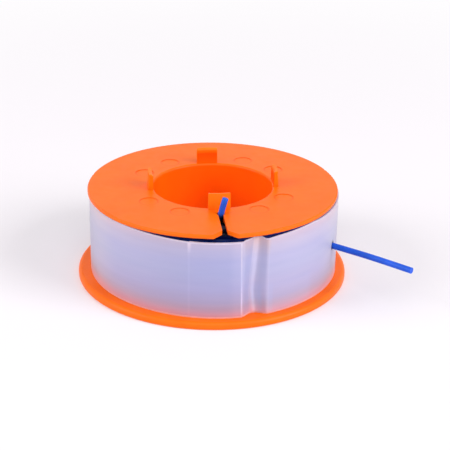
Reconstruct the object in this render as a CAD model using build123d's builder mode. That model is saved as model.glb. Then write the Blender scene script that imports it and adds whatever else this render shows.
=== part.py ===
# Trimmer line spool: a moulded spool, the nylon line wound on it and a film band that keeps the line on.
# The origin is on the spool's axis at its bottom face, +Z runs up the bore and the dogs lie on X and Y.
import os
from math import cos, radians, sin, sqrt, tan

from build123d import *

# Spool moulding
body_height = 24.2
bore_diameter = 31.2
hub_wall = 2.1
top_flange_diameter = 65.4
top_flange_thickness = 1.15
bottom_flange_diameter = 71.2
bottom_flange_thickness = 1.9
bottom_rim_round = 1.0
rim_edge_round = 0.3
hub_root_fillet = 0.6
bore_mouth_round = 0.6

# Drive dogs on the mouth of the bore
dog_count = 4
dog_width = 5.6
dog_height = 4.3
dog_setback = 0.3
dog_root_thickness = 1.3
dog_tip_thickness = 1.0
dog_lead_round = 0.65
dog_edge_round = 0.25

# Ejector marks in the top face, at these angles past each dog
mark_diameter = 4.8
mark_depth = 0.12
mark_circle_radius = 20.0
mark_angles = (30, 60)

# Nylon line, its winding and its anchored start
line_diameter = 1.6
line_layers = 5
winding_ease = 0.1
winding_headroom = 0.2
turn_ridge_depth = 0.35
anchor_radius = 19.5
anchor_clearance = 0.2
slit_width = 1.3
slit_mouth_depth = 2.8
slit_mouth_round = 1.0
slit_overrun = 1.0
start_rise = 4.1
start_lean = 1.2

# Free end of the line, from where it leaves the winding to its cut end
tail_route = [
    (25.8, 2.5, 12.0),
    (26.1, -6.0, 12.0),
    (27.4, -12.0, 12.0),
    (33.4, -17.3, 12.0),
    (40.4, -23.9, 12.0),
    (46.7, -30.6, 12.0),
]
arc_share = 0.45

# Film band with lapped ends, pressed in beside its outer end and hanging a little to one side
band_thickness = 0.3
band_inset = 0.05
band_headroom = 0.95
band_shift = 0.35
band_outer_end_angle = 276.8
band_inner_end_angle = 253.7
band_fold_angle = -71.5
dent_depth = 2.1
dent_near_angle = -79.5
dent_far_angle = -76.5
exit_clearance = 0.4

bore_radius = bore_diameter / 2
hub_radius = bore_radius + hub_wall
top_radius = top_flange_diameter / 2
bottom_radius = bottom_flange_diameter / 2
line_radius = line_diameter / 2
flange_underside = body_height - top_flange_thickness

os.makedirs("parts", exist_ok=True)


def polar(radius, angle):
    return (radius * cos(radians(angle)), radius * sin(radians(angle)))


def cord_radii(points):
    """Largest arc at each inner point of a route that its two runs leave room for."""
    radii = []
    for before, corner, after in zip(points, points[1:], points[2:]):
        run_in = Vector(corner) - Vector(before)
        run_out = Vector(after) - Vector(corner)
        half_turn = radians(run_in.get_angle(run_out)) / 2
        radii.append(arc_share * min(run_in.length, run_out.length) / tan(half_turn))
    return radii


# Drive dogs: one tapered ring just clear of the bore, kept only where the dogs stand
dog_base = flange_underside
dog_top = body_height + dog_height
dog_inside = bore_radius + dog_setback
with BuildPart() as drive_dogs:
    with BuildSketch(Plane.XZ) as dog_profile:
        with BuildLine():
            Polyline(
                (dog_inside, dog_base),
                (dog_inside + dog_root_thickness, dog_base),
                (dog_inside + dog_root_thickness, body_height),
                (dog_inside + dog_tip_thickness, dog_top),
                (dog_inside, dog_top),
                close=True,
            )
        make_face()
        tip_corners = dog_profile.vertices().group_by(Axis.Y)[-1].sort_by(Axis.X)
        fillet(tip_corners[0], radius=dog_lead_round)
        fillet(tip_corners[-1], radius=dog_edge_round)
    revolve(axis=Axis.Z)
    with BuildSketch(Plane.XY.offset(dog_base)):
        with PolarLocations(bore_radius, dog_count):
            Rectangle(bore_radius, dog_width)
    extrude(amount=dog_top - dog_base, mode=Mode.INTERSECT)
    dog_ends = drive_dogs.faces().filter_by(GeomType.PLANE).filter_by(Axis.Z, reverse=True)
    end_edges = dog_ends.edges().filter_by(lambda edge: edge.center().Z > body_height)
    fillet(end_edges, radius=dog_edge_round)

# Spool moulding: hub and flanges in one revolve, then dogs, anchor slit and ejector marks
slit_outside = top_radius + slit_overrun
slit_mouth = slit_width / 2 + slit_mouth_depth + slit_overrun
with BuildPart() as spool_body:
    with BuildSketch(Plane.XZ):
        with BuildLine():
            FilletPolyline(
                (bore_radius, 0),
                (bottom_radius, 0),
                (bottom_radius, bottom_flange_thickness),
                (hub_radius, bottom_flange_thickness),
                (hub_radius, flange_underside),
                (top_radius, flange_underside),
                (top_radius, body_height),
                (bore_radius, body_height),
                radius=[
                    bore_mouth_round,
                    rim_edge_round,
                    bottom_rim_round,
                    hub_root_fillet,
                    hub_root_fillet,
                    rim_edge_round,
                    rim_edge_round,
                    bore_mouth_round,
                ],
                close=True,
            )
        make_face()
    revolve(axis=Axis.Z)
    add(drive_dogs.part)
    with BuildSketch(Plane.XY.offset(flange_underside - slit_overrun)):
        with BuildLine():
            wall = FilletPolyline(
                (slit_width / 2, -anchor_radius),
                (slit_width / 2, slit_mouth_depth - top_radius),
                (slit_mouth, -slit_outside),
                radius=slit_mouth_round,
            )
            Line(wall @ 1, (0, -slit_outside))
            Line((0, -anchor_radius), wall @ 0)
            mirror(about=Plane.YZ)
        make_face()
        with Locations((0, -anchor_radius)):
            Circle(line_radius + anchor_clearance)
    extrude(amount=top_flange_thickness + 2 * slit_overrun, mode=Mode.SUBTRACT)
    with BuildSketch(Plane.XY.offset(body_height)):
        for angle in mark_angles:
            with PolarLocations(mark_circle_radius, dog_count, start_angle=angle):
                Circle(mark_diameter / 2)
    extrude(amount=-mark_depth, mode=Mode.SUBTRACT)

# Wound line: layers nest between each other's turns, and the outer turns show as ridges
winding_top = flange_underside - winding_headroom
winding_height = winding_top - bottom_flange_thickness
turns_per_layer = int(winding_height / line_diameter)
turn_pitch = winding_height / turns_per_layer
layer_step = sqrt(line_diameter**2 - (turn_pitch / 2) ** 2)
winding_inside = hub_radius + winding_ease
winding_crest = winding_inside + line_diameter + (line_layers - 1) * layer_step
winding_valley = winding_crest - turn_ridge_depth
start_route = [
    (0, -anchor_radius, winding_top - 2 * line_diameter),
    (0, -anchor_radius, body_height),
    (start_lean, -anchor_radius, body_height + start_rise),
]
with BuildPart() as line_winding:
    with BuildSketch(Plane.XZ):
        with BuildLine():
            for turn in range(turns_per_layer):
                turn_base = bottom_flange_thickness + turn * turn_pitch
                ThreePointArc(
                    (winding_valley, turn_base),
                    (winding_crest, turn_base + turn_pitch / 2),
                    (winding_valley, turn_base + turn_pitch),
                )
            Polyline(
                (winding_valley, winding_top),
                (winding_inside + hub_root_fillet, winding_top),
                (winding_inside, winding_top - hub_root_fillet),
                (winding_inside, bottom_flange_thickness + hub_root_fillet),
                (winding_inside + hub_root_fillet, bottom_flange_thickness),
                (winding_valley, bottom_flange_thickness),
            )
        make_face()
    revolve(axis=Axis.Z)
    with BuildLine() as start_path:
        FilletPolyline(*start_route, radius=cord_radii(start_route))
    with BuildSketch(Plane(start_path.line @ 0, z_dir=start_path.line % 0)):
        Circle(line_radius)
    sweep(path=start_path.line)

# Free end of the line
tail_radii = cord_radii(tail_route)
with BuildPart() as line_tail:
    with BuildLine() as tail_path:
        FilletPolyline(*tail_route, radius=tail_radii)
    with BuildSketch(Plane(tail_path.line @ 0, z_dir=tail_path.line % 0)):
        Circle(line_radius)
    sweep(path=tail_path.line)
print("tail arc radii", [round(radius, 1) for radius in tail_radii])
print("tail length", round(tail_path.wire().length, 2))

# Film band: one turn of strip, two layers thick where the ends lap, with a hole for the free end
band_radius = top_radius - band_inset
band_width = flange_underside - band_headroom - bottom_flange_thickness
lap_radius = band_radius - band_thickness
dent_angles = (band_outer_end_angle - 360, dent_near_angle, dent_far_angle, band_fold_angle)
dent_insets = (band_thickness, dent_depth, dent_depth, 0)
exit_axis = Vector(tail_route[3]) - Vector(tail_route[2])
with BuildPart() as retaining_band:
    with BuildSketch(Plane((band_shift, 0, bottom_flange_thickness))):
        with BuildLine():
            CenterArc((0, 0), band_radius, band_fold_angle, band_outer_end_angle - band_fold_angle)
            Line(polar(band_radius, band_outer_end_angle), polar(lap_radius, band_outer_end_angle))
            Spline(*[polar(band_radius - inset, angle) for angle, inset in zip(dent_angles, dent_insets)])
        make_face()
        with BuildLine():
            CenterArc((0, 0), lap_radius, band_fold_angle, band_inner_end_angle - band_fold_angle)
            Line(
                polar(lap_radius, band_inner_end_angle),
                polar(lap_radius - band_thickness, band_inner_end_angle),
            )
            CenterArc(
                (0, 0),
                lap_radius - band_thickness,
                band_inner_end_angle,
                band_outer_end_angle - band_inner_end_angle,
            )
            Spline(*[polar(lap_radius - inset, angle) for angle, inset in zip(dent_angles, dent_insets)])
        make_face(mode=Mode.SUBTRACT)
    extrude(amount=band_width)
    with BuildSketch(Plane(tail_route[2], z_dir=exit_axis)):
        Circle(line_radius + exit_clearance)
    extrude(amount=exit_axis.length, both=True, mode=Mode.SUBTRACT)

spool_body.part.label = "spool_body"
line_winding.part.label = "line_winding"
line_tail.part.label = "line_tail"
retaining_band.part.label = "retaining_band"
export_step(spool_body.part, "parts/spool_body.step")
export_step(line_winding.part, "parts/line_winding.step")
export_step(line_tail.part, "parts/line_tail.step")
export_step(retaining_band.part, "parts/retaining_band.step")
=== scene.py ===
# Looks of the trimmer line spool: camera, cord, wound line, film strip, materials and studio.
from math import atan2, cos, degrees, pi, radians, sin, sqrt

import bmesh
import bpy
from mathutils import Matrix, Vector


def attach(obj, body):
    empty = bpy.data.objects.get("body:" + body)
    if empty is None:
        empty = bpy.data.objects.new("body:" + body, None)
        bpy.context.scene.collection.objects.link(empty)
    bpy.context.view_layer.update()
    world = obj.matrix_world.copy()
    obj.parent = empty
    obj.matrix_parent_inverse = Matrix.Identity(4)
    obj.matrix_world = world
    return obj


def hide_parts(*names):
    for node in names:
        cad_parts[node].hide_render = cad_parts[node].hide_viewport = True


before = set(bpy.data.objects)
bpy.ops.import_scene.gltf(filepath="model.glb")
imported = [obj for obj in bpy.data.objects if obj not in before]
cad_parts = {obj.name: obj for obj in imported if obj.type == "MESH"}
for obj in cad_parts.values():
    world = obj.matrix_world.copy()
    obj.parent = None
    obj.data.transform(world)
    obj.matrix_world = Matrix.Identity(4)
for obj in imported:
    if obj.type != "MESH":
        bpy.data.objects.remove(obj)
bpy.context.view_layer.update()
scene = bpy.context.scene
scene.view_settings.view_transform = "Standard"

MM = 0.001

# Sizes repeated from the part, in millimetres
line_radius = 0.8
winding_base = 1.9
winding_top = 22.85
winding_inside = 17.8
anchor_radius = 19.5
body_height = 24.2
flange_underside = 23.05
start_rise = 4.1
start_lean = 1.2
tail_route = [
    (25.8, 2.5, 12.0),
    (26.1, -6.0, 12.0),
    (27.4, -12.0, 12.0),
    (33.4, -17.3, 12.0),
    (40.4, -23.9, 12.0),
    (46.7, -30.6, 12.0),
]
mark_diameter = 4.8
mark_circle_radius = 20.0
mark_angles = (30, 60)
film_radius = 32.65
film_shift = 0.35
film_thickness = 0.3
film_base = 1.9
film_top = 22.1
film_start = -106.3
film_end = 276.8

# Camera, at the photograph's angle
picture_side = 450
focal_pixels = 1337.18
camera_turn = -6.5
camera_elevation = 23.435
camera_roll = 0.839
camera_distance = 360.0
camera_right = 3.36
camera_up = 11.70

camera_data = bpy.data.cameras.new("camera")
camera_data.sensor_width = 36.0
camera_data.lens = focal_pixels / picture_side * camera_data.sensor_width
camera = bpy.data.objects.new("camera", camera_data)
scene.collection.objects.link(camera)
tilt = radians(camera_elevation)
roll = radians(camera_roll)
right = Vector((1, 0, 0))
up = Vector((0, sin(tilt), cos(tilt)))
back = Vector((0, -cos(tilt), sin(tilt)))
place = camera_right * right + camera_up * up + camera_distance * back
rolled_right = cos(roll) * right + sin(roll) * up
rolled_up = cos(roll) * up - sin(roll) * right
pose = Matrix((rolled_right, rolled_up, back)).transposed().to_4x4()
pose.translation = place * MM
camera.matrix_world = Matrix.Rotation(radians(camera_turn), 4, "Z") @ pose
scene.camera = camera


def polar(radius, angle, height):
    return Vector((radius * cos(radians(angle)), radius * sin(radians(angle)), height))


def ease(share):
    share = min(max(share, 0.0), 1.0)
    return share * share * (3 - 2 * share)


def add_piece(name, mesh, material, node):
    piece = bpy.data.objects.new(name, mesh)
    scene.collection.objects.link(piece)
    if not mesh.materials:
        mesh.materials.append(material)
    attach(piece, "root")
    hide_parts(node)
    return piece


def node_material(name):
    material = bpy.data.materials.new(name)
    material.use_nodes = True
    nodes = material.node_tree.nodes
    return nodes, material.node_tree.links, nodes["Principled BSDF"], material


def object_noise(nodes, links, scale, detail=3.0, stretch=(1, 1, 1)):
    place = nodes.new("ShaderNodeTexCoord")
    mapping = nodes.new("ShaderNodeMapping")
    mapping.inputs["Scale"].default_value = stretch
    noise = nodes.new("ShaderNodeTexNoise")
    noise.inputs["Scale"].default_value = scale
    noise.inputs["Detail"].default_value = detail
    links.new(place.outputs["Object"], mapping.inputs["Vector"])
    links.new(mapping.outputs["Vector"], noise.inputs["Vector"])
    return noise.outputs["Fac"]


def ramp(nodes, links, factor, low, high, start=0.35, end=0.65):
    colours = nodes.new("ShaderNodeValToRGB")
    colours.color_ramp.elements[0].position = start
    colours.color_ramp.elements[1].position = end
    colours.color_ramp.elements[0].color = (*low, 1)
    colours.color_ramp.elements[1].color = (*high, 1)
    links.new(factor, colours.inputs["Fac"])
    return colours.outputs["Color"]


def spread(nodes, links, factor, low, high):
    values = nodes.new("ShaderNodeMapRange")
    values.inputs["From Min"].default_value = 0.3
    values.inputs["From Max"].default_value = 0.7
    values.inputs["To Min"].default_value = low
    values.inputs["To Max"].default_value = high
    links.new(factor, values.inputs["Value"])
    return values.outputs["Result"]


def bump(nodes, links, factor, depth, strength):
    node = nodes.new("ShaderNodeBump")
    node.inputs["Strength"].default_value = strength
    node.inputs["Distance"].default_value = depth
    links.new(factor, node.inputs["Height"])
    return node.outputs["Normal"]


def height_ramp(nodes, links, low, high, stops):
    """Colours between two heights in millimetres, given as shares of the way up."""
    place = nodes.new("ShaderNodeTexCoord")
    split = nodes.new("ShaderNodeSeparateXYZ")
    share = nodes.new("ShaderNodeMapRange")
    share.inputs["From Min"].default_value = low * MM
    share.inputs["From Max"].default_value = high * MM
    colours = nodes.new("ShaderNodeValToRGB")
    elements = colours.color_ramp.elements
    while len(elements) < len(stops):
        elements.new(0.5)
    for element, (position, colour) in zip(elements, stops):
        element.position = position
        element.color = (*colour, 1)
    links.new(place.outputs["Object"], split.inputs["Vector"])
    links.new(split.outputs["Z"], share.inputs["Value"])
    links.new(share.outputs["Result"], colours.inputs["Fac"])
    return colours.outputs["Color"]


def tint(nodes, links, colour, shade):
    """One colour multiplied by another."""
    mixer = nodes.new("ShaderNodeMix")
    mixer.data_type = "RGBA"
    mixer.blend_type = "MULTIPLY"
    mixer.inputs["Factor"].default_value = 1.0
    links.new(colour, mixer.inputs["A"])
    links.new(shade, mixer.inputs["B"])
    return mixer.outputs["Result"]


def faces_axis(nodes, links):
    """1 on faces that look towards the spool's axis, 0 on all others."""
    place = nodes.new("ShaderNodeTexCoord")
    out = nodes.new("ShaderNodeVectorMath")
    out.operation = "MULTIPLY"
    out.inputs[1].default_value = (1, 1, 0)
    unit = nodes.new("ShaderNodeVectorMath")
    unit.operation = "NORMALIZE"
    dot = nodes.new("ShaderNodeVectorMath")
    dot.operation = "DOT_PRODUCT"
    share = nodes.new("ShaderNodeMapRange")
    share.inputs["From Min"].default_value = -0.3
    share.inputs["From Max"].default_value = -0.7
    links.new(place.outputs["Object"], out.inputs[0])
    links.new(out.outputs["Vector"], unit.inputs[0])
    links.new(unit.outputs["Vector"], dot.inputs[0])
    links.new(place.outputs["Normal"], dot.inputs[1])
    links.new(dot.outputs["Value"], share.inputs["Value"])
    return share.outputs["Result"]


def mark_ring_shade(nodes, links):
    """1 on the rings of painted shade round the ejector marks' recesses, folded into one quarter of the top face."""
    place = nodes.new("ShaderNodeTexCoord")
    quarter = nodes.new("ShaderNodeVectorMath")
    quarter.operation = "ABSOLUTE"
    links.new(place.outputs["Object"], quarter.inputs[0])
    nearest = None
    for angle in mark_angles:
        reach = nodes.new("ShaderNodeVectorMath")
        reach.operation = "DISTANCE"
        reach.inputs[1].default_value = polar(mark_circle_radius, angle, body_height) * MM
        links.new(quarter.outputs["Vector"], reach.inputs[0])
        if nearest:
            either = nodes.new("ShaderNodeMath")
            either.operation = "MINIMUM"
            links.new(nearest, either.inputs[0])
            links.new(reach.outputs["Value"], either.inputs[1])
            nearest = either.outputs["Value"]
        else:
            nearest = reach.outputs["Value"]
    off = nodes.new("ShaderNodeMath")
    off.operation = "SUBTRACT"
    off.inputs[1].default_value = mark_diameter / 2 * MM
    size = nodes.new("ShaderNodeMath")
    size.operation = "ABSOLUTE"
    share = nodes.new("ShaderNodeMapRange")
    share.inputs["From Min"].default_value = 0.35 * MM
    share.inputs["From Max"].default_value = 0.1 * MM
    links.new(nearest, off.inputs[0])
    links.new(off.outputs["Value"], size.inputs[0])
    links.new(size.outputs["Value"], share.inputs["Value"])
    return share.outputs["Result"]


def sheet(nodes, links, shader, colour, share):
    """Lets part of the light through a surface, spread evenly."""
    through = nodes.new("ShaderNodeBsdfTranslucent")
    mixer = nodes.new("ShaderNodeMixShader")
    mixer.inputs["Fac"].default_value = share
    links.new(colour, through.inputs["Color"])
    links.new(shader.outputs["BSDF"], mixer.inputs[1])
    links.new(through.outputs["BSDF"], mixer.inputs[2])
    links.new(mixer.outputs["Shader"], nodes["Material Output"].inputs["Surface"])


def nylon_look(name, stops=None):
    """Blue line, with painted shade by height below and in the top flange where stops are given."""
    nodes, links, shader, material = node_material(name)
    colour = ramp(nodes, links, object_noise(nodes, links, 300.0), (0.008, 0.085, 0.58), (0.013, 0.1, 0.68))
    if stops:
        colour = tint(nodes, links, colour, height_ramp(nodes, links, 17.0, 24.6, stops))
    links.new(colour, shader.inputs["Base Color"])
    links.new(spread(nodes, links, object_noise(nodes, links, 900.0), 0.36, 0.46), shader.inputs["Roughness"])
    links.new(bump(nodes, links, object_noise(nodes, links, 2600.0), 0.00002, 0.2), shader.inputs["Normal"])
    shader.inputs["Specular IOR Level"].default_value = 0.25
    return material


# Orange moulding, with painted shade deepening it inside the bore and in a band on the dogs' inner faces, and
# painted light lightening the dogs' outer faces and tips
nodes, links, shader, orange = node_material("orange_plastic_look")
cloud = ramp(nodes, links, object_noise(nodes, links, 160.0), (0.89, 0.135, 0.001), (0.92, 0.147, 0.002))
# Painted light on faces looking outward, lightening the dogs above the flange and most at their tips
outward_painted_light = height_ramp(nodes, links, 24.5, 28.5, [
    (0.0, (1, 1, 1)),
    (0.3, (1, 1.25, 1.2)),
    (1.0, (1, 1.25, 1.8)),
])
# Painted shade on faces looking towards the axis, deeper inside the bore and in a band high on the dogs, with
# painted light at the dogs' tips
inward_painted_shade_and_light = height_ramp(nodes, links, 24.5, 28.5, [
    (0.0, (1.1, 0.84, 0.3)),
    (0.45, (1, 0.66, 0.4)),
    (0.62, (1, 0.55, 0.4)),
    (0.74, (1, 1, 1)),
    (1.0, (1, 1.25, 1.8)),
])
# Painted light and shade, picked by which way each face looks
sides = nodes.new("ShaderNodeMix")
sides.data_type = "RGBA"
links.new(faces_axis(nodes, links), sides.inputs["Factor"])
links.new(outward_painted_light, sides.inputs["A"])
links.new(inward_painted_shade_and_light, sides.inputs["B"])
# Painted shade on rings round the ejector marks' recesses
rings = ramp(nodes, links, mark_ring_shade(nodes, links), (1, 1, 1), (0.95, 0.78, 0.5), 0.0, 1.0)
colour = tint(nodes, links, tint(nodes, links, cloud, sides.outputs["Result"]), rings)
links.new(colour, shader.inputs["Base Color"])
links.new(spread(nodes, links, object_noise(nodes, links, 420.0), 0.38, 0.44), shader.inputs["Roughness"])
links.new(bump(nodes, links, object_noise(nodes, links, 900.0), 0.00002, 0.06), shader.inputs["Normal"])
shader.inputs["IOR"].default_value = 1.26

# Blue nylon line, with painted shade darkening it where it lies wound under the flange, warmed a little by painted
# orange light
blue = nylon_look("blue_line_painted_shade_look", [
    (0.0, (1, 1, 1)),
    (0.5, (0.1, 0.07, 0.035)),
    (0.83, (0.12, 0.09, 0.06)),
    (1.0, (1, 1, 1)),
])
free_blue = nylon_look("free_line_look")

# Frosted film: painted orange light from the flanges tints it at the bottom and top, painted shade dulls it low
# down, and it deepens towards its outer end
nodes, links, shader, film = node_material("frosted_film_look")
cloud = ramp(nodes, links, object_noise(nodes, links, 60.0, stretch=(1, 1, 10)), (0.95, 0.96, 0.98), (1, 1, 1))
# Painted orange light from the flanges at the film's bottom and top, and painted shade low down, over the film's own
# lavender
glow = height_ramp(nodes, links, film_base, film_top, [
    (0.0, (0.88, 0.4, 0.42)),
    (0.04, (0.79, 0.39, 0.475)),
    (0.13, (0.585, 0.387, 0.51)),
    (0.21, (0.522, 0.425, 0.61)),
    (0.37, (0.517, 0.477, 0.72)),
    (0.6, (0.53, 0.525, 0.77)),
    (0.75, (0.545, 0.53, 0.785)),
    (0.9, (0.62, 0.565, 0.765)),
    (1.0, (0.7, 0.57, 0.71)),
])
# The shade attribute carries painted shade and painted highlights from film_shade
shade = nodes.new("ShaderNodeAttribute")
shade.attribute_name = "shade"
colour = tint(nodes, links, tint(nodes, links, glow, cloud), shade.outputs["Vector"])
links.new(colour, shader.inputs["Base Color"])
streaks = object_noise(nodes, links, 40.0, stretch=(1, 1, 12))
links.new(spread(nodes, links, streaks, 0.3, 0.36), shader.inputs["Roughness"])
links.new(bump(nodes, links, streaks, 0.00003, 0.1), shader.inputs["Normal"])
shader.inputs["IOR"].default_value = 1.5
shader.inputs["Sheen Weight"].default_value = 0.35
sheet(nodes, links, shader, colour, 0.25)

# Whitened margin and cut edge of the film, lighter partly from the edge's own whitening and partly as painted light
# on the edge, with painted orange light from the flanges
nodes, links, shader, film_cut = node_material("film_cut_look")
cloud = ramp(nodes, links, object_noise(nodes, links, 700.0), (0.94, 0.94, 0.96), (1, 1, 1))
# Painted orange light from the flanges at the bottom and top of the edge, over its whitened colour
glow = height_ramp(nodes, links, film_base, film_top, [
    (0.0, (1.0, 0.55, 0.5)),
    (0.06, (0.88, 0.6, 0.7)),
    (0.2, (0.8, 0.7, 0.9)),
    (0.5, (0.66, 0.67, 0.9)),
    (1.0, (0.8, 0.73, 0.86)),
])
colour = tint(nodes, links, glow, cloud)
links.new(colour, shader.inputs["Base Color"])
shader.inputs["Roughness"].default_value = 0.5
shader.inputs["IOR"].default_value = 1.4
sheet(nodes, links, shader, colour, 0.35)

# Inside face of the film, which adds little of its own
nodes, links, shader, film_inside = node_material("film_inside_look")
cloud = object_noise(nodes, links, 300.0)
links.new(ramp(nodes, links, cloud, (0.8, 0.8, 0.92), (0.9, 0.9, 0.98)), shader.inputs["Base Color"])
shader.inputs["Roughness"].default_value = 0.4
clear = nodes.new("ShaderNodeBsdfTransparent")
mixer = nodes.new("ShaderNodeMixShader")
links.new(spread(nodes, links, cloud, 0.04, 0.08), mixer.inputs["Fac"])
links.new(clear.outputs["BSDF"], mixer.inputs[1])
links.new(shader.outputs["BSDF"], mixer.inputs[2])
links.new(mixer.outputs["Shader"], nodes["Material Output"].inputs["Surface"])

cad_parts["spool_body"].data.materials[0] = orange

# Free end of the line
curve = bpy.data.curves.new("line_free_end", "CURVE")
curve.dimensions = "3D"
spline = curve.splines.new("NURBS")
spline.points.add(len(tail_route) - 1)
for point, (x, y, z) in zip(spline.points, tail_route):
    point.co = (x * MM, y * MM, z * MM, 1)
spline.order_u = 3
spline.use_endpoint_u = True
spline.resolution_u = 24
curve.bevel_depth = line_radius * MM
curve.bevel_resolution = 8
curve.use_fill_caps = True
free_end = add_piece("line_free_end", curve, free_blue, "line_tail")


def tube_mesh(name, points, radius, sides, tip_round):
    """Closed tube along points in millimetres, with its ends rounded over a little."""
    mesh = bmesh.new()
    rings = []
    tangents = []
    for index in range(len(points)):
        before = points[max(index - 1, 0)]
        after = points[min(index + 1, len(points) - 1)]
        tangents.append((after - before).normalized())
    side = tangents[0].orthogonal().normalized()
    sections = [(points[0], tangents[0], radius - tip_round)]
    sections += [(points[0] + tangents[0] * tip_round, tangents[0], radius)]
    sections += [(point, tangent, radius) for point, tangent in zip(points[1:-1], tangents[1:-1])]
    sections += [(points[-1] - tangents[-1] * tip_round, tangents[-1], radius)]
    sections += [(points[-1], tangents[-1], radius - tip_round)]
    for point, tangent, reach in sections:
        side = (side - tangent * side.dot(tangent)).normalized()
        other = tangent.cross(side)
        ring = []
        for step in range(sides):
            angle = 2 * pi * step / sides
            ring.append(mesh.verts.new((point + reach * (cos(angle) * side + sin(angle) * other)) * MM))
        rings.append(ring)
    for near, far in zip(rings, rings[1:]):
        for step in range(sides):
            ahead = (step + 1) % sides
            mesh.faces.new((near[step], near[ahead], far[ahead], far[step]))
    mesh.faces.new(rings[0][::-1])
    mesh.faces.new(rings[-1])
    for face in mesh.faces:
        face.smooth = True
    data = bpy.data.meshes.new(name)
    mesh.to_mesh(data)
    mesh.free()
    data.set_sharp_from_angle(angle=radians(50))
    return data


# Wound line: one length that goes in at the slit, down and up the hub layer by layer, and out to the free end
turn_count = int((winding_top - winding_base) / (2 * line_radius))
turn_pitch = (winding_top - winding_base) / turn_count
layer_step = sqrt((2 * line_radius) ** 2 - (turn_pitch / 2) ** 2)
turn_points = 60
step_over = 40.0
back_angle = 90.0
slit_angle = -90.0


def layer_radius(layer):
    return winding_inside + line_radius + layer * layer_step


def turn_height(layer, turn):
    return winding_base + turn_pitch * (turn + 0.5 + 0.5 * (layer % 2))


places = [(0, turn) for turn in range(turn_count - 2, -1, -1)]
places += [(1, turn) for turn in range(turn_count - 2)]
places += [(2, turn) for turn in range(turn_count - 2, -1, -1)]
places += [(3, turn) for turn in range(turn_count - 1)]
places += [(4, turn) for turn in range(turn_count - 1, -1, -1)]

wound = [Vector((start_lean, -anchor_radius, body_height + start_rise))]
knee = Vector((0, -anchor_radius, body_height))
entry = Vector((0, -anchor_radius, flange_underside))
top_turn = turn_height(0, turn_count - 1)
for step in range(1, 7):
    share = step / 6
    wound.append((1 - share) ** 2 * wound[0] + 2 * share * (1 - share) * knee + share**2 * entry)
inlet = 50
for step in range(1, inlet + 1):
    share = step / inlet
    angle = slit_angle - 180 * share
    radius = anchor_radius + (layer_radius(0) - anchor_radius) * ease(share)
    drop = ease(min(share * 8, 1.0))
    wound.append(polar(radius, angle, flange_underside + (top_turn - flange_underside) * drop))
for index, (layer, turn) in enumerate(places):
    from_layer, from_turn = places[index - 1] if index else (0, turn_count - 1)
    old = (layer_radius(from_layer), turn_height(from_layer, from_turn))
    new = (layer_radius(layer), turn_height(layer, turn))
    for step in range(1, turn_points + 1):
        swept = 360.0 * step / turn_points
        share = ease(swept / step_over)
        radius = old[0] + (new[0] - old[0]) * share
        height = old[1] + (new[1] - old[1]) * share
        wound.append(polar(radius, back_angle - swept, height))
exit_point = Vector(tail_route[0])
exit_angle = degrees(atan2(exit_point.y, exit_point.x))
outlet_sweep = 360.0 + back_angle - exit_angle
outlet = 75
for step in range(1, outlet + 1):
    share = step / outlet
    radius = layer_radius(4) + (exit_point.to_2d().length - layer_radius(4)) * ease(share * 4)
    height = turn_height(4, 0) + (exit_point.z - turn_height(4, 0)) * ease(share)
    wound.append(polar(radius, back_angle - outlet_sweep * share, height))
add_piece("line_turns", tube_mesh("line_turns", wound, line_radius, 10, 0.12), blue, "line_winding")

# Film strip: laps under its own outer end, and is pressed in beside it
edge_zone = 0.3
low_edge_zone = 0.45
film_front = -90.0
film_bulge = 0.4
outer_end_deepening_start = 208.0
end_skew = 0.5
exit_clearance = 0.15
dent = [
    (-83.2, 0.35),
    (-82.3, 0.45),
    (-81.2, 1.0),
    (-79.6, 1.7),
    (-78.7, 1.85),
    (-76.6, 1.75),
    (-74.6, 1.08),
    (-72.9, 0.38),
    (-72.1, 0.1),
    (-71.6, 0.0),
]


def bell(value, low, high, soft):
    """Rises from 0 to 1 past the low end and falls again before the high end."""
    return ease((value - low) / soft) * ease((high - value) / soft)


def dent_angle(angle, height):
    """The dent's angle at its middle height, for a dent whose bottom wanders from side to side."""
    lean = 0.2 * abs(height - 8.5) - 1.0
    share = min(max((angle - dent[0][0]) / (dent[-1][0] - dent[0][0]), 0.0), 1.0)
    return angle - lean * sin(pi * share)


def film_inset(angle, height):
    """How far the strip's outer face lies inside the film radius."""
    from_front = abs((angle - film_front + 180.0) % 360.0 - 180.0)
    bulge = film_bulge * (1 - ease(from_front / 45.0))
    shifted = dent_angle(angle, height)
    if shifted <= dent[0][0]:
        return dent[0][1] - bulge
    for (low, inset_low), (high, inset_high) in zip(dent, dent[1:]):
        if shifted <= high:
            return inset_low + (inset_high - inset_low) * (shifted - low) / (high - low) - bulge
    return -bulge


def film_rise(angle):
    """How far the strip's top edge stands above its place at the front."""
    from_front = abs((angle - film_front + 180.0) % 360.0 - 180.0)
    sides = 0.75 * ease((from_front - 8.0) / 40.0)
    return sides + 0.4 * bell(angle, -83.3, -72.6, 1.6) + 0.2 * bell(angle, -74.0, -40.0, 8.0)


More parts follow.
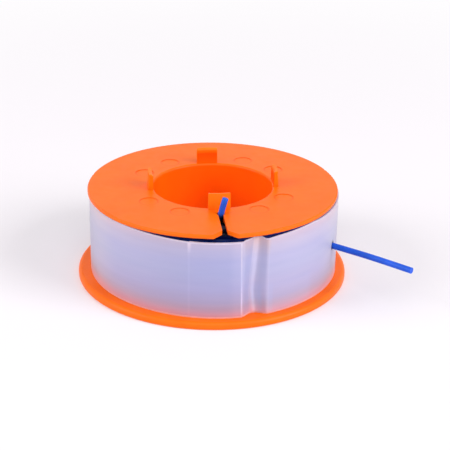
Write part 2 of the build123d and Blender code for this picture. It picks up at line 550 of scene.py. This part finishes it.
def film_shade(angle, height):
    """Tint of the film: painted shade on the dent's slopes, deeper towards its outer end, painted highlights on the
    dent's lit slope and fold creases, a lighter line over the inner end, painted cool light low down, painted orange
    light high up and painted light on its sides.
    """
    shifted = dent_angle(angle, height)
    widening = 0.25 * max(height - 14.0, 0.0)
    slopes = bell(shifted, -83.4, -78.6, 1.4) + 0.4 * bell(shifted, -75.4, -72.2, 0.7)
    outer_end_deepening = ease((angle - outer_end_deepening_start) / (film_end - outer_end_deepening_start)) - 0.5 * ease((angle - 270.5) / 4.5)
    slope_highlight = ease((shifted + 78.9 + widening) / (1.3 + widening)) * ease((-75.4 - shifted) / 1.3)
    fold_highlights = 0.3 * bell(angle, -84.2, -81.8, 0.8) + 0.35 * bell(angle, -72.6, -71.0, 0.5)
    inner_end = 0.25 * bell(angle, 253.0, 254.4, 0.5)
    inner_corner = 1.6 * bell(angle, 252.8, 254.9, 0.7) * ease((height - 19.6) / 1.7)
    painted_cool_light = 0.6 * bell(angle, -84.5, -45.0, 5.0) + 0.5 * bell(angle, -73.0, -68.5, 1.5)
    painted_cool_light += 1.2 * bell(shifted, -78.5, -73.0, 1.5)
    low = 1.0 - min(max((height - film_base - 1.0) / 7.5, 0.0), 1.0)
    high = ease((height - 16.5) / 5.5)
    # In order: painted shade on the dent's slopes and deepening towards the outer end; painted highlights on the
    # dent's lit slope and fold creases and a lighter line over the inner end; painted cool light low round the dent;
    # painted orange light high up over it; painted light on the film's left and right sides
    tints = [
        (slopes + outer_end_deepening, (0.83, 0.87, 0.94)),
        (slope_highlight + fold_highlights + inner_end + inner_corner, (1.24, 1.22, 1.14)),
        (painted_cool_light * low, (0.96, 1.19, 1.25)),
        (0.7 * bell(angle, -83.5, -70.0, 2.0) * high, (1.05, 0.9, 0.76)),
        (bell(angle, -42.0, 15.0, 18.0) + bell(angle, 150.0, 218.0, 18.0), (1.13, 1.1, 1.0)),
    ]
    shade = [1.0, 1.0, 1.0]
    for amount, colour in tints:
        shade = [value * (1 + amount * (channel - 1)) for value, channel in zip(shade, colour)]
    return Vector(shade)


def film_point(radius, angle, height):
    return (polar(radius, angle, height) + Vector((film_shift, 0, 0))) * MM


film_angles = [film_start, film_start + 0.6]
film_angles += [film_start + 0.6 + 0.75 * step for step in range(1, 29)]
film_angles += [-84.0 + 0.25 * step for step in range(65)]
film_angles += [-67.0 + 1.5 * step for step in range(211)]
film_angles += [249.0 + 0.7 * step for step in range(6)]
film_angles += [252.8 + 0.25 * step for step in range(8)]
film_angles += [255.2 + 0.7 * step for step in range(30)] + [film_end - 0.7, film_end]
film_rows = 14
film_heights = [film_base]
film_heights += [
    film_base + low_edge_zone + (film_top - film_base - edge_zone - low_edge_zone) * row / film_rows
    for row in range(film_rows + 1)
]
film_heights += [film_top]
mesh = bmesh.new()
shade_layer = mesh.verts.layers.float_vector.new("shade")
grid = []
for angle in film_angles:
    column = []
    for level in film_heights:
        share = (level - film_base) / (film_top - film_base)
        height = level + film_rise(angle) * share
        outer = film_radius - film_inset(angle, height)
        turned = angle - end_skew * share * ease((angle - 250.0) / 20.0)
        column.append((
            mesh.verts.new(film_point(outer, turned, height)),
            mesh.verts.new(film_point(outer - film_thickness, turned, height)),
        ))
        for corner in column[-1]:
            corner[shade_layer] = film_shade(angle, height)
    grid.append(column)
edge_faces = []
inside_faces = []
last_row = len(film_heights) - 2
last_column = len(grid) - 2
for place, (near, far) in enumerate(zip(grid, grid[1:])):
    for row in range(last_row + 1):
        outside = mesh.faces.new((near[row][0], far[row][0], far[row + 1][0], near[row + 1][0]))
        inside = mesh.faces.new((near[row][1], near[row + 1][1], far[row + 1][1], far[row][1]))
        inside_faces.append(inside)
        if row in (0, last_row) or place in (0, last_column):
            edge_faces.append(outside)
    edge_faces.append(mesh.faces.new((near[0][0], near[0][1], far[0][1], far[0][0])))
    edge_faces.append(mesh.faces.new((near[-1][0], far[-1][0], far[-1][1], near[-1][1])))
for row in range(last_row + 1):
    low, high = grid[0][row], grid[0][row + 1]
    edge_faces.append(mesh.faces.new((low[0], high[0], high[1], low[1])))
    low, high = grid[-1][row], grid[-1][row + 1]
    edge_faces.append(mesh.faces.new((low[0], low[1], high[1], high[0])))
for face in mesh.faces:
    face.smooth = True
for face in edge_faces:
    face.material_index = 1
for face in inside_faces:
    face.material_index = 2
film_mesh = bpy.data.meshes.new("film_strip")
mesh.to_mesh(film_mesh)
mesh.free()
film_mesh.set_sharp_from_angle(angle=radians(60))
for look in (film, film_cut, film_inside):
    film_mesh.materials.append(look)

# Hole in the film for the free end
hole_start, hole_end = Vector(tail_route[2]), Vector(tail_route[3])
hole_run = hole_end - hole_start
mesh = bmesh.new()
bmesh.ops.create_cone(
    mesh,
    cap_ends=True,
    segments=32,
    radius1=(line_radius + exit_clearance) * MM,
    radius2=(line_radius + exit_clearance) * MM,
    depth=hole_run.length * MM,
)
drill_mesh = bpy.data.meshes.new("drill")
mesh.to_mesh(drill_mesh)
mesh.free()
drill = bpy.data.objects.new("drill", drill_mesh)
drill.rotation_mode = "QUATERNION"
drill.rotation_quaternion = hole_run.to_track_quat("Z", "Y")
drill.location = (hole_start + hole_end) / 2 * MM
uncut = bpy.data.objects.new("uncut_film", film_mesh)
scene.collection.objects.link(drill)
scene.collection.objects.link(uncut)
cut = uncut.modifiers.new("exit_hole", "BOOLEAN")
cut.operation = "DIFFERENCE"
cut.solver = "EXACT"
cut.object = drill
cut_mesh = bpy.data.meshes.new_from_object(uncut.evaluated_get(bpy.context.evaluated_depsgraph_get()))
cut_mesh.name = "film_strip"
for spent in (drill, uncut):
    bpy.data.objects.remove(spent)
add_piece("film_strip", cut_mesh, film, "retaining_band")


def looked_at(nodes, links):
    """1 where the camera sees a surface itself, in a reflection or through something clear."""
    path = nodes.new("ShaderNodeLightPath")
    value = path.outputs["Is Camera Ray"]
    for kind in ("Is Glossy Ray", "Is Transmission Ray"):
        either = nodes.new("ShaderNodeMath")
        either.operation = "MAXIMUM"
        links.new(value, either.inputs[0])
        links.new(path.outputs[kind], either.inputs[1])
        value = either.outputs["Value"]
    return value


# Studio floor
bpy.ops.mesh.primitive_plane_add(size=2.4, location=(0, 0, -0.00005))
floor = bpy.context.object
floor.name = "floor"
nodes, links, shader, floor_look = node_material("floor_look")
shader.inputs["Base Color"].default_value = (0.85, 0.81, 0.85, 1)
shader.inputs["Roughness"].default_value = 0.8
shader.inputs["Specular IOR Level"].default_value = 0.1
glow = nodes.new("ShaderNodeEmission")
glow.inputs["Color"].default_value = (1, 0.985, 1, 1)
mixer = nodes.new("ShaderNodeMixShader")
place = nodes.new("ShaderNodeTexCoord")
reach = nodes.new("ShaderNodeVectorMath")
reach.operation = "LENGTH"
fade = nodes.new("ShaderNodeMapRange")
fade.inputs["From Min"].default_value = 0.12
fade.inputs["From Max"].default_value = 0.32
fade.inputs["To Min"].default_value = 0.15
fade.inputs["To Max"].default_value = 1.0
share = nodes.new("ShaderNodeMath")
share.operation = "MULTIPLY"
links.new(place.outputs["Object"], reach.inputs[0])
links.new(reach.outputs["Value"], fade.inputs["Value"])
links.new(looked_at(nodes, links), share.inputs[0])
links.new(fade.outputs["Result"], share.inputs[1])
links.new(share.outputs["Value"], mixer.inputs["Fac"])
links.new(shader.outputs["BSDF"], mixer.inputs[1])
links.new(glow.outputs["Emission"], mixer.inputs[2])
links.new(mixer.outputs["Shader"], nodes["Material Output"].inputs["Surface"])
floor.data.materials.append(floor_look)

# Studio light
world = bpy.data.worlds.new("studio")
scene.world = world
world.use_nodes = True
nodes = world.node_tree.nodes
links = world.node_tree.links
surround = nodes["Background"]
surround.inputs["Color"].default_value = (1, 1, 1, 1)
seen = nodes.new("ShaderNodeMapRange")
seen.inputs["To Min"].default_value = 0.5
seen.inputs["To Max"].default_value = 1.0
links.new(looked_at(nodes, links), seen.inputs["Value"])
links.new(seen.outputs["Result"], surround.inputs["Strength"])


def softbox(name, azimuth, elevation, distance, side, power):
    lamp = bpy.data.lights.new(name, "AREA")
    lamp.shape = "SQUARE"
    lamp.size = side
    lamp.energy = power
    box = bpy.data.objects.new(name, lamp)
    scene.collection.objects.link(box)
    box.location = polar(distance * cos(radians(elevation)), azimuth, distance * sin(radians(elevation)))
    box.rotation_euler = (-box.location).to_track_quat("-Z", "Y").to_euler()


softbox("softbox_left", -172.0, 30.0, 1.6, 0.9, 13.0)
softbox("softbox_right", -32.0, 30.0, 1.6, 0.9, 18.5)
softbox("softbox_front", -92.0, 48.0, 1.6, 0.9, 6.0)
